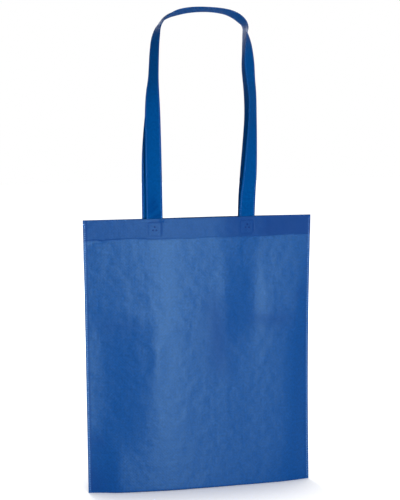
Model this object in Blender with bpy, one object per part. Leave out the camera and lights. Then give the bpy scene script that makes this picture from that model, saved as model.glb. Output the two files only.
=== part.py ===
"""Folded shopping bag of spunbond polypropylene, standing with its two loop handles up.

Metres, +Z up.  The front looks along -Y and the origin is the middle of the flat base.
The bag is one sheet: it folds across the bottom, turns in to a hem round the mouth, and
is welded to itself up both sides.  Each handle is one flat strap whose two ends are
welded to the inside of the hem, so its broad side faces front there and turns edge on
over the top of the loop.
"""
import bisect
import math

import bmesh
import bpy
import numpy as np
from mathutils import Vector

# Sheet and bag
BAG_WIDTH = 0.350        # across the two side welds
BAG_HEIGHT = 0.420       # floor to mouth
SHEET = 0.0005           # one layer of the fabric
SIDE_WELD = 0.005        # flat strip where front and back are welded together
HEM_DEPTH = 0.0305       # turned in at the mouth
HEM_STEP = 0.0012        # height over which the second layer shows through as a ledge
BASE_DEPTH = 0.031       # how far the bottom fold has opened, front to back
BASE_ROUND = 0.003       # radius where the base turns up into a panel
MOUTH_GAP = 0.012        # clear gap at the middle of the mouth
MOUTH_SWAY = 0.0010      # the mouth bows forward at one end and back at the other
SIDE_BOW = 0.002         # the right edge draws in at mid height
PANEL_FALL = 2.4         # how late the bulge of a panel dies out on the way up
PANEL_DRAW = 0.65        # how far a bulge draws the side edges in
FOLD_START = 0.050       # the folds grow from the base over this height
FOLD_FADE = 0.120        # and fade over this height below the mouth
FOLD_KEPT = 0.3          # share of a fold that is left at the mouth
FOLD_HEIGHT = 0.001      # of the folds below, which are given as multiples of it

# Handles
STRAP_WIDTH = 0.025
STRAP_THICKNESS = 0.0011
STRAP_EDGE = 0.0025      # pressed flat strip along each edge of a strap
STRAP_EDGE_THICKNESS = 0.0007
STRAP_TUCK = 0.029       # length of each end inside the hem
HANDLE_SPAN = 0.1425     # between the middles of the two ends of the front handle
HANDLE_SHIFT = 0.00325   # the handles sit this far right of the middle
HANDLE_RISE = 0.3075     # mouth to the top of the loop
BACK_SPREAD = 0.0055     # the back handle's left end is welded this much further out
HANDLE_GAP = 0.003       # between the two loops where they pass each other
HANDLE_LEAN = 0.6        # share of the rise over which a loop leans out to its own side
HANDLE_CLEAR = 0.004     # height over the mouth where it starts to lean
CLEARANCE = 0.0003       # between pieces that touch

# Pressed square that welds each strap end to the hem
PATCH_SIZE = 0.0215
PATCH_ROUND = 0.004
PATCH_LINE = 0.0012      # width of the pressed line
PATCH_PRESS = 0.00030    # depth of the pressed line
PATCH_DROP = 0.0155      # mouth to the middle of the square

# Mesh fineness
COLUMNS = 36             # across a panel
ROWS = 18                # up a panel, below the hem
HEM_ROWS = 4
ROUND_STEPS = 3          # up the base's round
STRAP_STEP = 0.009       # along a strap
ROUTE_STEPS = 16         # from one given point of a route to the next
PATCH_STEPS = 3          # per rounded corner of a square

# Profiles of the front panel, seen from above: places across the open width, -1 and 1 at
# the side welds, and the share of the bulge there, at the base, at mid height and near the
# mouth.  The crest is left of the middle.  The back panel is the same, turned round.
PROFILE_PLACES = (-1.00, -0.92, -0.80, -0.67, -0.54, -0.41, -0.28, -0.15,
                  0.04, 0.24, 0.44, 0.57, 0.70, 0.83, 0.92, 1.00)
BASE_PROFILE = (0.00, 0.18, 0.47, 0.67, 0.82, 0.93, 1.00, 1.00,
                0.95, 0.86, 0.75, 0.68, 0.60, 0.44, 0.24, 0.00)
MIDDLE_PROFILE = (0.00, 0.04, 0.22, 0.51, 0.78, 0.95, 0.99, 0.97,
                  0.87, 0.76, 0.64, 0.59, 0.54, 0.44, 0.26, 0.00)
MOUTH_PROFILE = (0.00, 0.09, 0.26, 0.45, 0.64, 0.83, 0.93, 0.90,
                 0.78, 0.60, 0.34, 0.19, 0.14, 0.09, 0.05, 0.00)
MIDDLE_FROM = 0.110      # height at which the middle profile is reached
MIDDLE_TO = 0.215        # up to this height it stays
MOUTH_FROM = 0.282       # height at which the mouth's profile is reached

# Soft folds of a panel, on top of its profile: middle (x, z), reach along x and z, and
# height, as shares of the bag's width and height and of the fold height
FRONT_FOLDS = (
    (0.110, 0.720, 0.050, 0.200, 1.2),
    (0.238, 0.740, 0.040, 0.200, -1.5),
    (-0.194, 0.476, 0.029, 0.083, 0.8),
    (-0.160, 0.590, 0.110, 0.045, 1.0),
    (0.070, 0.590, 0.085, 0.070, 1.1),
    (-0.366, 0.080, 0.046, 0.090, 1.3),
    (0.310, 0.660, 0.060, 0.080, 0.8),
    (0.140, 1.000, 0.150, 0.070, 10.0),
)
BACK_FOLDS = (
    (0.171, 0.381, 0.120, 0.286, 2.6),
    (-0.057, 0.548, 0.103, 0.286, -2.0),
    (-0.286, 0.452, 0.103, 0.286, 2.2),
    (0.029, 0.624, 0.314, 0.033, -1.0),
)

# Routes of the two handles: share of the span from the left end, share of the rise, and
# the strap's turn in degrees, 0 where its broad side faces front and 90 where it is edge on
FRONT_ROUTE = (
    (0.000, 0.00, 0), (-0.004, 0.15, 10), (-0.010, 0.32, 20), (-0.015, 0.50, 32),
    (-0.013, 0.60, 46), (-0.003, 0.68, 60), (0.010, 0.80, 65), (0.027, 0.87, 70),
    (0.065, 0.925, 84), (0.150, 0.963, 98), (0.250, 0.985, 107), (0.400, 0.998, 106),
    (0.580, 1.000, 103), (0.750, 0.991, 104), (0.860, 0.972, 107), (0.935, 0.945, 105),
    (0.977, 0.918, 92), (0.990, 0.890, 76), (1.003, 0.83, 56), (1.010, 0.75, 42),
    (1.025, 0.67, 46), (1.043, 0.59, 50), (1.046, 0.48, 47), (1.040, 0.35, 35),
    (1.030, 0.22, 21), (1.012, 0.11, 9), (1.000, 0.00, 0),
)
BACK_ROUTE = (
    (0.000, 0.00, 0), (0.000, 0.15, 8), (0.006, 0.32, 20), (0.030, 0.50, 38),
    (0.045, 0.62, 56), (0.062, 0.78, 68), (0.078, 0.87, 74), (0.110, 0.925, 84),
    (0.190, 0.966, 96), (0.290, 0.988, 102), (0.440, 1.002, 102), (0.620, 1.004, 102),
    (0.780, 0.996, 102), (0.890, 0.976, 100), (0.960, 0.946, 96), (1.000, 0.918, 90),
    (1.008, 0.885, 84), (1.014, 0.80, 76), (1.016, 0.72, 72), (1.040, 0.60, 70),
    (1.052, 0.48, 62), (1.042, 0.34, 46), (1.025, 0.20, 24), (1.008, 0.10, 8),
    (1.000, 0.00, 0),
)

# Colours of the fabric
BODY_COLOUR = (0.022, 0.098, 0.330, 1.0)
STRAP_COLOUR = (0.010, 0.068, 0.270, 1.0)

FRONT, BACK = -1, 1


def clear_scene():
    """Empty the file without closing it."""
    for thing in list(bpy.data.objects):
        bpy.data.objects.remove(thing, do_unlink=True)


def fabric(name, colour):
    """Matt spunbond polypropylene."""
    material = bpy.data.materials.new(name)
    material.use_nodes = True
    shader = material.node_tree.nodes["Principled BSDF"]
    shader.inputs["Base Color"].default_value = colour
    shader.inputs["Roughness"].default_value = 0.55
    shader.inputs["Metallic"].default_value = 0.0
    return material


def add_object(name, mesh_bm, material, smooth_angle=40):
    """Close a bmesh into a named object with its own material."""
    bmesh.ops.recalc_face_normals(mesh_bm, faces=mesh_bm.faces)
    mesh = bpy.data.meshes.new(name)
    mesh_bm.to_mesh(mesh)
    mesh_bm.free()
    mesh.materials.append(material)
    mesh.shade_smooth()
    mesh.set_sharp_from_angle(angle=math.radians(smooth_angle))
    thing = bpy.data.objects.new(name, mesh)
    bpy.context.collection.objects.link(thing)
    return thing


def ease(share):
    """Smooth step from 0 to 1."""
    share = min(max(share, 0.0), 1.0)
    return share * share * (3 - 2 * share)


def bulge(z):
    """How far the middle of a panel's inner face stands off the midline."""
    up = min(max(z / BAG_HEIGHT, 0.0), 1.0)
    base, mouth = BASE_DEPTH / 2 - SHEET, MOUTH_GAP / 2
    return base + (mouth - base) * up ** PANEL_FALL


def side_edges(z):
    """Left and right edge: a bulged sheet spans less than its flat width."""
    flat_half = BAG_WIDTH / 2
    drawn_in = PANEL_DRAW * bulge(z) ** 2 / flat_half
    bow = SIDE_BOW * math.sin(math.pi * min(max(z / BAG_HEIGHT, 0.0), 1.0))
    return -flat_half + drawn_in, flat_half - drawn_in - bow


def across(x, z):
    """Place across the open width of the bag: -1 and 1 at the side welds."""
    left, right = side_edges(z)
    middle, half = (left + right) / 2, (right - left) / 2 - SIDE_WELD
    return min(max((x - middle) / half, -1.0), 1.0)


def midline(x, z):
    """The mouth's slow S, seen from above, dying out towards the base."""
    return MOUTH_SWAY * math.sin(2 * math.pi * x / BAG_WIDTH) * (z / BAG_HEIGHT) ** 2


def spline_bends(heights):
    """Bend at each place of the smooth curve through a profile, none at its two ends."""
    gaps = np.diff(PROFILE_PLACES)
    slopes = np.diff(heights) / gaps
    count = len(PROFILE_PLACES)
    system, wanted = np.eye(count), np.zeros(count)
    for n in range(1, count - 1):
        system[n, n - 1:n + 2] = gaps[n - 1], 2 * (gaps[n - 1] + gaps[n]), gaps[n]
        wanted[n] = 6 * (slopes[n] - slopes[n - 1])
    return np.linalg.solve(system, wanted)


def profile_at(place, heights, bends):
    """Share of the bulge at a place across the panel."""
    n = min(bisect.bisect_right(PROFILE_PLACES, place), len(PROFILE_PLACES) - 1) - 1
    gap = PROFILE_PLACES[n + 1] - PROFILE_PLACES[n]
    after = (place - PROFILE_PLACES[n]) / gap
    before = 1 - after
    return (before * heights[n] + after * heights[n + 1]
            + ((before ** 3 - before) * bends[n] + (after ** 3 - after) * bends[n + 1]) * gap ** 2 / 6)


PROFILES = [(heights, spline_bends(heights)) for heights in (BASE_PROFILE, MIDDLE_PROFILE, MOUTH_PROFILE)]


def profile(side, place, z):
    """Share of the bulge at a place and a height, one profile easing into the next."""
    base, middle, mouth = (profile_at(place if side == FRONT else -place, *one) for one in PROFILES)
    low = base + (middle - base) * ease(z / MIDDLE_FROM)
    return low + (mouth - low) * ease((z - MIDDLE_TO) / (MOUTH_FROM - MIDDLE_TO))


def folds(side, x, z):
    """Soft folds, let go at the side welds, at the base and towards the mouth."""
    u = across(x, z)
    fade = ease((z - BAG_HEIGHT + FOLD_FADE) / FOLD_FADE)
    hold = (1 - u ** 4) * ease(z / FOLD_START) * (1 - (1 - FOLD_KEPT) * fade)
    total = 0.0
    for fold_x, fold_z, reach_x, reach_z, height in (FRONT_FOLDS if side == FRONT else BACK_FOLDS):
        away = (x / BAG_WIDTH - fold_x) / reach_x, (z / BAG_HEIGHT - fold_z) / reach_z
        total += height * FOLD_HEIGHT * math.exp(-away[0] ** 2 - away[1] ** 2)
    return total * hold


def inner_face(side, x, z):
    """Y of the face that looks into the bag."""
    open_half = bulge(z) * profile(side, across(x, z), z) + folds(side, x, z)
    return midline(x, z) + side * max(open_half, 0.0)


def layers(z):
    """One layer, and two inside the hem."""
    return 1 + ease((z - (BAG_HEIGHT - HEM_DEPTH)) / HEM_STEP + 0.5)


def outer_face(side, x, z):
    """Y of the face that looks out."""
    return inner_face(side, x, z) + side * layers(z) * SHEET


def column_x(column, z):
    """X of a column: the outermost strip on each side is the weld."""
    left, right = side_edges(z)
    if column == 0:
        return left
    if column == COLUMNS:
        return right
    share = (column - 1) / (COLUMNS - 2)
    return left + SIDE_WELD + share * (right - left - 2 * SIDE_WELD)


def panel_heights():
    """Heights of the rows between the base's round and the rim."""
    hem_low = BAG_HEIGHT - HEM_DEPTH - HEM_STEP / 2
    hem_high = hem_low + HEM_STEP
    rim = BAG_HEIGHT - SHEET
    heights = [BASE_ROUND + (hem_low - BASE_ROUND) * row / ROWS for row in range(ROWS + 1)]
    heights += [hem_low + HEM_STEP / 2]
    heights += [hem_high + (rim - hem_high) * row / HEM_ROWS for row in range(HEM_ROWS + 1)]
    return heights


def make_bag_body(material):
    """Panels outside and inside, joined over the rim, on a flat base."""
    bm = bmesh.new()
    outside, inside = {FRONT: [], BACK: []}, {FRONT: [], BACK: []}

    # Rounded foot: the base is the same lens, drawn in all round
    for step in range(ROUND_STEPS):
        angle = math.pi / 2 * step / ROUND_STEPS
        rise = 1 - math.cos(angle)
        inset = 1 - (BASE_ROUND / (BASE_DEPTH / 2)) * (1 - math.sin(angle))
        low = BASE_ROUND * rise
        inner_low = SHEET + (BASE_ROUND - SHEET) * rise
        for side in (FRONT, BACK):
            outside[side].append([
                bm.verts.new((column_x(c, low), inset * outer_face(side, column_x(c, low), 0), low))
                for c in range(COLUMNS + 1)])
            inside[side].append([
                bm.verts.new((column_x(c, inner_low), inset * inner_face(side, column_x(c, inner_low), 0),
                              inner_low))
                for c in range(2, COLUMNS - 1)])
    for z in panel_heights():
        for side in (FRONT, BACK):
            outside[side].append([
                bm.verts.new((column_x(c, z), outer_face(side, column_x(c, z), z), z))
                for c in range(COLUMNS + 1)])
            inside[side].append([
                bm.verts.new((column_x(c, z), inner_face(side, column_x(c, z), z), z))
                for c in range(2, COLUMNS - 1)])

    # Inside, front and back share the line where the weld begins
    for row, (front, back) in enumerate(zip(inside[FRONT], inside[BACK])):
        z = front[0].co.z
        for column, at_start in ((1, True), (COLUMNS - 1, False)):
            x = column_x(column, z)
            shared = bm.verts.new((x, midline(x, z), z))
            for line in (front, back):
                line.insert(0 if at_start else len(line), shared)

    rim = {}
    for side in (FRONT, BACK):
        rim[side] = []
        for column in range(1, COLUMNS):
            x = column_x(column, BAG_HEIGHT)
            y = (outer_face(side, x, BAG_HEIGHT) + inner_face(side, x, BAG_HEIGHT)) / 2
            rim[side].append(bm.verts.new((x, y, BAG_HEIGHT)))

    def skin(low, high):
        for a, b, c, d in zip(low, low[1:], high[1:], high):
            corners = [v for n, v in enumerate((a, b, c, d)) if v not in (a, b, c, d)[:n]]
            if len(corners) > 2:
                bm.faces.new(corners)

    for side in (FRONT, BACK):
        for low, high in zip(outside[side], outside[side][1:]):
            skin(low, high)
        for low, high in zip(inside[side], inside[side][1:]):
            skin(low, high)
        skin(outside[side][-1][1:COLUMNS], rim[side])
        skin(rim[side], inside[side][-1])
    for n in (0, COLUMNS):
        skin([line[n] for line in outside[FRONT]], [line[n] for line in outside[BACK]])
    skin(outside[FRONT][0], outside[BACK][0])
    skin(inside[FRONT][0], inside[BACK][0])

    # Top of each side weld, from its end to where the mouth opens
    for end, first, n in ((0, 1, 0), (COLUMNS, COLUMNS - 1, -1)):
        front, back = outside[FRONT][-1], outside[BACK][-1]
        bm.faces.new((front[end], front[first], rim[FRONT][n], inside[FRONT][-1][n],
                      rim[BACK][n], back[first], back[end]))

    body = add_object("bag_body", bm, material)
    cutters = [pressed_square(side, x) for side in (FRONT, BACK) for x in strap_ends(side)]
    for cutter in cutters:
        cut = body.modifiers.new("pressed " + cutter.name, "BOOLEAN")
        cut.operation = "DIFFERENCE"
        cut.solver = "EXACT"
        cut.object = cutter
    return body


def strap_ends(side):
    """X of the middle of a handle's left and right end."""
    left = HANDLE_SHIFT - HANDLE_SPAN / 2 - (BACK_SPREAD if side == BACK else 0.0)
    return left, HANDLE_SHIFT + HANDLE_SPAN / 2


def rounded_square(half, radius):
    """Points round a square with rounded corners, in its own plane."""
    points = []
    for quarter, (sx, sz) in enumerate(((1, 1), (-1, 1), (-1, -1), (1, -1))):
        for step in range(PATCH_STEPS + 1):
            angle = math.pi / 2 * (quarter + step / PATCH_STEPS)
            points.append((sx * (half - radius) + radius * math.cos(angle),
                           sz * (half - radius) + radius * math.sin(angle)))
    return points


def pressed_square(side, x_middle):
    """Cutter for the pressed line of a weld: a square ring that follows the hem's face."""
    z_middle = BAG_HEIGHT - PATCH_DROP
    bm = bmesh.new()
    rings = []
    outer_half, outside = PATCH_SIZE / 2, 2 * SHEET
    for inset, depth in ((0, -PATCH_PRESS), (0, outside), (PATCH_LINE, outside), (PATCH_LINE, -PATCH_PRESS)):
        ring = []
        for dx, dz in rounded_square(outer_half - inset, PATCH_ROUND - inset):
            x, z = x_middle + dx, z_middle + dz
            ring.append(bm.verts.new((x, outer_face(side, x, z) + side * depth, z)))
        rings.append(ring)
    count = len(rings[0])
    for ring, after in zip(rings, rings[1:] + rings[:1]):
        for n in range(count):
            bm.faces.new((ring[n], ring[(n + 1) % count], after[(n + 1) % count], after[n]))
    place = "left" if x_middle < 0 else "right"
    cutter = add_object(f"square {'front' if side == FRONT else 'back'} {place}", bm, WELD_GUIDE)
    cutter.hide_render = True
    cutter.display_type = "WIRE"
    return cutter


def curve_through(points, step):
    """Points a step apart along a smooth curve through the given ones, and its length."""
    ends = [2 * points[0] - points[1]] + points + [2 * points[-1] - points[-2]]
    dense = []
    for n in range(1, len(ends) - 2):
        p0, p1, p2, p3 = ends[n - 1:n + 3]
        for k in range(ROUTE_STEPS):
            t = k / ROUTE_STEPS
            dense.append(0.5 * (2 * p1 + (p2 - p0) * t + (2 * p0 - 5 * p1 + 4 * p2 - p3) * t * t
                                + (3 * p1 - p0 - 3 * p2 + p3) * t ** 3))
    dense.append(points[-1])
    lengths = [0.0]
    for a, b in zip(dense, dense[1:]):
        lengths.append(lengths[-1] + (b - a).to_3d().length)
    count = round(lengths[-1] / step)
    spaced, at = [], 0
    for n in range(count + 1):
        wanted = lengths[-1] * n / count
        while at < len(dense) - 2 and lengths[at + 1] < wanted:
            at += 1
        run = lengths[at + 1] - lengths[at]
        spaced.append(dense[at].lerp(dense[at + 1], (wanted - lengths[at]) / run if run else 0.0))
    return spaced, lengths[-1]


def strap_stations(side, route):
    """Middle line of a handle as 4-vectors: x, y, z and turn in radians."""
    left, right = strap_ends(side)
    span = right - left
    stand_off = CLEARANCE + STRAP_THICKNESS / 2

    def seated(x, z):
        """A point of the end that lies on the hem's inner face, turned as the face is."""
        reach = STRAP_WIDTH / 2
        slope = (inner_face(side, x + reach, z) - inner_face(side, x - reach, z)) / STRAP_WIDTH
        turn = math.atan(slope) * (1 if side == FRONT else -1)
        if x < (left + right) / 2:
            turn = -turn
        return Vector((x, inner_face(side, x, min(z, BAG_HEIGHT)) - side * stand_off, z, turn))

    arch = side * (STRAP_WIDTH + HANDLE_GAP) / 2
    tucks = (-STRAP_TUCK, -STRAP_TUCK / 2, 0.0, HANDLE_CLEAR)
    stations = [seated(left, BAG_HEIGHT + dz) for dz in tucks]
    foot = {left: stations[-1], right: seated(right, BAG_HEIGHT + tucks[-1])}
    for along, up, turn in route[1:-1]:
        start = foot[left if along < 0.5 else right]
        lean = ease(up / HANDLE_LEAN)
        y = start.y + (arch - start.y) * lean
        turned = math.radians(turn) + start.w * (1 - lean)
        stations.append(Vector((left + along * span, y, BAG_HEIGHT + up * HANDLE_RISE, turned)))
    stations += [seated(right, BAG_HEIGHT + dz) for dz in reversed(tucks)]
    return stations


def make_handle(name, side, route, material):
    """Sweep the strap's flat section along its route, turning as it goes."""
    line, length = curve_through(strap_stations(side, route), STRAP_STEP)
    half, edge = STRAP_WIDTH / 2, STRAP_WIDTH / 2 - STRAP_EDGE
    thin, thick = STRAP_EDGE_THICKNESS / 2, STRAP_THICKNESS / 2
    section = ((-half, -thin), (-edge, -thick), (edge, -thick), (half, -thin),
               (half, thin), (edge, thick), (-edge, thick), (-half, thin))
    bm = bmesh.new()
    rings = []
    for n, point in enumerate(line):
        before, after = line[max(n - 1, 0)], line[min(n + 1, len(line) - 1)]
        along = (after - before).to_3d().normalized()
        in_plane = along.cross(Vector((0, 1, 0))).normalized()
        through = in_plane.cross(along).normalized()
        width = math.cos(point.w) * in_plane - side * math.sin(point.w) * through
        face = along.cross(width)
        rings.append([bm.verts.new(point.to_3d() + a * width + b * face) for a, b in section])
    count = len(section)
    for ring, after in zip(rings, rings[1:]):
        for n in range(count):
            bm.faces.new((ring[n], ring[(n + 1) % count], after[(n + 1) % count], after[n]))
    bm.faces.new(rings[0])
    bm.faces.new(rings[-1])
    print(f"{name}: strap {length:.3f} m long, {len(rings)} sections")
    return add_object(name, bm, material)


clear_scene()
WELD_GUIDE = fabric("weld guide", BODY_COLOUR)
make_bag_body(fabric("spunbond panel", BODY_COLOUR))
make_handle("front_handle", FRONT, FRONT_ROUTE, fabric("spunbond strap front", STRAP_COLOUR))
make_handle("back_handle", BACK, BACK_ROUTE, fabric("spunbond strap back", STRAP_COLOUR))
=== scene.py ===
# %% [markdown]
# A non-woven shopping bag, dressed for its picture.
#
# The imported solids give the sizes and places.  This script makes the fine surfaces over
# them: the folded sheet of the bag, the two straps, the weld points, and the fabric's
# finish.  It is read from top to bottom, one piece or finish to a cell.

# %% Load the frame
import math

import bmesh
import bpy
import numpy as np
from mathutils import Matrix, Vector


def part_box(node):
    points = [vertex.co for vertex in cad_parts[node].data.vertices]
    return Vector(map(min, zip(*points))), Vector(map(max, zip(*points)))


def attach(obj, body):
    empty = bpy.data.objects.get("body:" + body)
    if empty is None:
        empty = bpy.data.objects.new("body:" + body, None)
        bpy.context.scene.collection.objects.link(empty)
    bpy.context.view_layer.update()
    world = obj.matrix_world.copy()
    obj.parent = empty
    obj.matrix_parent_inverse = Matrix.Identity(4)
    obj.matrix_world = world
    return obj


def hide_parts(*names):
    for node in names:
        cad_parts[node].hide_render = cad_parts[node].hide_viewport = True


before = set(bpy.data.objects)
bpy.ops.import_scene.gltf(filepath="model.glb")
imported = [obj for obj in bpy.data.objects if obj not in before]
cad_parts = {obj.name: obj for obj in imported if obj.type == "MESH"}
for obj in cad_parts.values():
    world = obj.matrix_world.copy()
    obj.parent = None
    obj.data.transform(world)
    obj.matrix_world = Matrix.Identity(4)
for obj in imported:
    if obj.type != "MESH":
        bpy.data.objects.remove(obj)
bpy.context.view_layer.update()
scene = bpy.context.scene
print("solids:", sorted(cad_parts))

# %% [markdown]
# The photograph is 400 by 500 pixels.  A camera fitted to the bag's four corners stands
# left of the middle, a little above the mouth, and looks slightly down.  Blender measures
# the sensor along the frame's long side, here its height, so the lens is the focal length
# in pixels times the sensor's height over 500.

# %% Camera
PHOTO_HEIGHT = 500
FOCAL_PIXELS = 1200
CAMERA_DISTANCE = 1.82
CAMERA_AZIMUTH = math.radians(-10.5)
CAMERA_ELEVATION = math.radians(7.7)
CAMERA_ROLL = math.radians(-0.39)
CAMERA_TARGET = Vector((0.002, 0.0, 0.370))


def new_object(name, data):
    """An object in the scene, from a mesh, a curve, a camera or a lamp."""
    made = bpy.data.objects.new(name, data)
    scene.collection.objects.link(made)
    return made


back = Vector((math.sin(CAMERA_AZIMUTH) * math.cos(CAMERA_ELEVATION),
               -math.cos(CAMERA_AZIMUTH) * math.cos(CAMERA_ELEVATION),
               math.sin(CAMERA_ELEVATION)))
camera_data = bpy.data.cameras.new("camera")
camera_data.sensor_width = 36.0
camera_data.lens = FOCAL_PIXELS * camera_data.sensor_width / PHOTO_HEIGHT
camera = new_object("camera", camera_data)
camera.location = CAMERA_TARGET + back * CAMERA_DISTANCE
camera.rotation_mode = "QUATERNION"
roll = Matrix.Rotation(CAMERA_ROLL, 3, back)
camera.rotation_quaternion = (roll @ (-back).to_track_quat("-Z", "Y").to_matrix()).to_quaternion()
scene.camera = camera
print(f"camera {CAMERA_DISTANCE} m away, lens {camera_data.lens:.1f} mm")

# %% [markdown]
# The bag's height comes from the frame, and the other sizes are the same as the solids
# have.  Spunbond of 80 grams a square metre is taken to be about 0.4 mm thick, which is an
# estimate.  A layer is drawn slightly thinner than the room that it has, so that two
# layers never touch.

# %% Sizes of the bag
BAG_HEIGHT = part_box("bag_body")[1].z
BASE_DEPTH = 0.031
BAG_WIDTH = 0.350
SHEET = 0.0005
CLOTH = 0.00042
SIDE_WELD = 0.005
HEM_DEPTH = 0.0305
HEM_STEP = 0.0012
BASE_ROUND = 0.003
MOUTH_GAP = 0.012
MOUTH_SWAY = 0.0010
SIDE_BOW = 0.002
PANEL_FALL = 2.4
PANEL_DRAW = 0.65
FOLD_START = 0.050
FOLD_FADE = 0.120
FOLD_KEPT = 0.3
FOLD_HEIGHT = 0.001
FRONT, BACK = -1, 1
print(f"bag {BAG_WIDTH:.3f} m wide, {BAG_HEIGHT:.3f} m high, base {BASE_DEPTH:.3f} m deep")

# %% [markdown]
# A panel stands off the middle of the bag by a bulge that is largest at the opened base
# and nearly gone at the mouth.  Across the panel the bulge follows a profile: one for the
# base, one for mid height and one for the mouth, each a smooth curve through a few chosen
# places, and each easing into the next.  The front's crest is left of its middle, with a
# steep flank on the left and a long gentle one on the right.  The back is the same curve
# turned round.  A bulged sheet spans less than its flat width, and that draws the side
# edges in.  A few chosen places are easier to match to one real bag than a simulation is,
# which would crease wherever it liked.  A fold is a low hill on the panel: its place across
# and up as shares of the bag's width and height, its reach both ways, and its height in
# millimetres, where a hollow is below zero.

# %% Shape of a panel
PROFILE_PLACES = np.array((-1.00, -0.92, -0.80, -0.67, -0.54, -0.41, -0.28, -0.15,
                           0.04, 0.24, 0.44, 0.57, 0.70, 0.83, 0.92, 1.00))
BASE_PROFILE = (0.00, 0.18, 0.47, 0.67, 0.82, 0.93, 1.00, 1.00,
                0.95, 0.86, 0.75, 0.68, 0.60, 0.44, 0.24, 0.00)
MIDDLE_PROFILE = (0.00, 0.04, 0.22, 0.51, 0.78, 0.95, 0.99, 0.97,
                  0.87, 0.76, 0.64, 0.59, 0.54, 0.44, 0.26, 0.00)
MOUTH_PROFILE = (0.00, 0.09, 0.26, 0.45, 0.64, 0.83, 0.93, 0.90,
                 0.78, 0.60, 0.34, 0.19, 0.14, 0.09, 0.05, 0.00)
MIDDLE_FROM = 0.110
MIDDLE_TO = 0.215
MOUTH_FROM = 0.282
FRONT_FOLDS = (
    (0.110, 0.720, 0.050, 0.200, 1.2),
    (0.238, 0.740, 0.040, 0.200, -1.5),
    (-0.194, 0.476, 0.029, 0.083, 0.8),
    (-0.160, 0.590, 0.110, 0.045, 1.0),
    (0.070, 0.590, 0.085, 0.070, 1.1),
    (-0.366, 0.080, 0.046, 0.090, 1.3),
    (0.310, 0.660, 0.060, 0.080, 0.8),
    (0.140, 1.000, 0.150, 0.070, 10.0),
)
BACK_FOLDS = (
    (0.171, 0.381, 0.120, 0.286, 2.6),
    (-0.057, 0.548, 0.103, 0.286, -2.0),
    (-0.286, 0.452, 0.103, 0.286, 2.2),
    (0.029, 0.624, 0.314, 0.033, -1.0),
)

print(len(FRONT_FOLDS), "soft folds in front,", len(BACK_FOLDS), "behind")

# %% [markdown]
# The functions below put these together.  The side edges, the place across and the middle
# between the panels come first, then the profile, the folds and the face itself.

# %% Faces of a panel
def ease(share):
    """Smooth step from 0 to 1, for numbers and arrays."""
    share = np.clip(share, 0.0, 1.0)
    return share * share * (3 - 2 * share)


def bulge(z):
    """How far a panel stands off the middle at its crest, at a height."""
    base, mouth = BASE_DEPTH / 2 - SHEET, MOUTH_GAP / 2
    return base + (mouth - base) * np.clip(z / BAG_HEIGHT, 0.0, 1.0) ** PANEL_FALL


def side_edges(z):
    """X of the left and right edge."""
    flat_half = BAG_WIDTH / 2
    drawn_in = PANEL_DRAW * bulge(z) ** 2 / flat_half
    bow = SIDE_BOW * np.sin(math.pi * np.clip(z / BAG_HEIGHT, 0.0, 1.0))
    return -flat_half + drawn_in, flat_half - drawn_in - bow


def across(x, z):
    """Place across the open width of the bag: -1 and 1 at the side welds."""
    left, right = side_edges(z)
    middle, half = (left + right) / 2, (right - left) / 2 - SIDE_WELD
    return np.clip((x - middle) / half, -1.0, 1.0)


def midline(x, z):
    """Y of the middle between the panels, which sways towards the mouth."""
    return MOUTH_SWAY * np.sin(2 * math.pi * x / BAG_WIDTH) * (z / BAG_HEIGHT) ** 2


def spline_bends(heights):
    """Bend at each place of the smooth curve through a profile, none at its two ends."""
    gaps = np.diff(PROFILE_PLACES)
    slopes = np.diff(heights) / gaps
    count = len(PROFILE_PLACES)
    system, wanted = np.eye(count), np.zeros(count)
    for n in range(1, count - 1):
        system[n, n - 1:n + 2] = gaps[n - 1], 2 * (gaps[n - 1] + gaps[n]), gaps[n]
        wanted[n] = 6 * (slopes[n] - slopes[n - 1])
    return np.linalg.solve(system, wanted)


def profile_at(place, heights, bends):
    """Share of the bulge at a place across the panel."""
    n = np.clip(np.searchsorted(PROFILE_PLACES, place, side="right") - 1, 0, len(PROFILE_PLACES) - 2)
    gap = PROFILE_PLACES[n + 1] - PROFILE_PLACES[n]
    after = (place - PROFILE_PLACES[n]) / gap
    before = 1 - after
    return (before * heights[n] + after * heights[n + 1]
            + ((before ** 3 - before) * bends[n] + (after ** 3 - after) * bends[n + 1]) * gap ** 2 / 6)


PROFILES = [(np.array(one), spline_bends(one)) for one in (BASE_PROFILE, MIDDLE_PROFILE, MOUTH_PROFILE)]


def profile(side, place, z):
    """Share of the bulge at a place and a height, one profile easing into the next."""
    base, middle, mouth = (profile_at(place if side == FRONT else -place, *one) for one in PROFILES)
    low = base + (middle - base) * ease(z / MIDDLE_FROM)
    return low + (mouth - low) * ease((z - MIDDLE_TO) / (MOUTH_FROM - MIDDLE_TO))


def folds(side, x, z):
    """Height that the large soft folds add to a panel."""
    fade = ease((z - BAG_HEIGHT + FOLD_FADE) / FOLD_FADE)
    hold = (1 - across(x, z) ** 4) * ease(z / FOLD_START) * (1 - (1 - FOLD_KEPT) * fade)
    total = 0.0
    for fold_x, fold_z, reach_x, reach_z, height in (FRONT_FOLDS if side == FRONT else BACK_FOLDS):
        along, up = (x / BAG_WIDTH - fold_x) / reach_x, (z / BAG_HEIGHT - fold_z) / reach_z
        total = total + height * FOLD_HEIGHT * np.exp(-along ** 2 - up ** 2)
    return total * hold


def inner_face(side, x, z):
    """Y of the face that looks into the bag."""
    open_half = bulge(z) * profile(side, across(x, z), z) + folds(side, x, z)
    return midline(x, z) + side * np.maximum(open_half, 0.0)


left_edge, right_edge = side_edges(BAG_HEIGHT / 2)
print(f"side edges at mid height: {left_edge:.4f} and {right_edge:.4f}")

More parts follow.
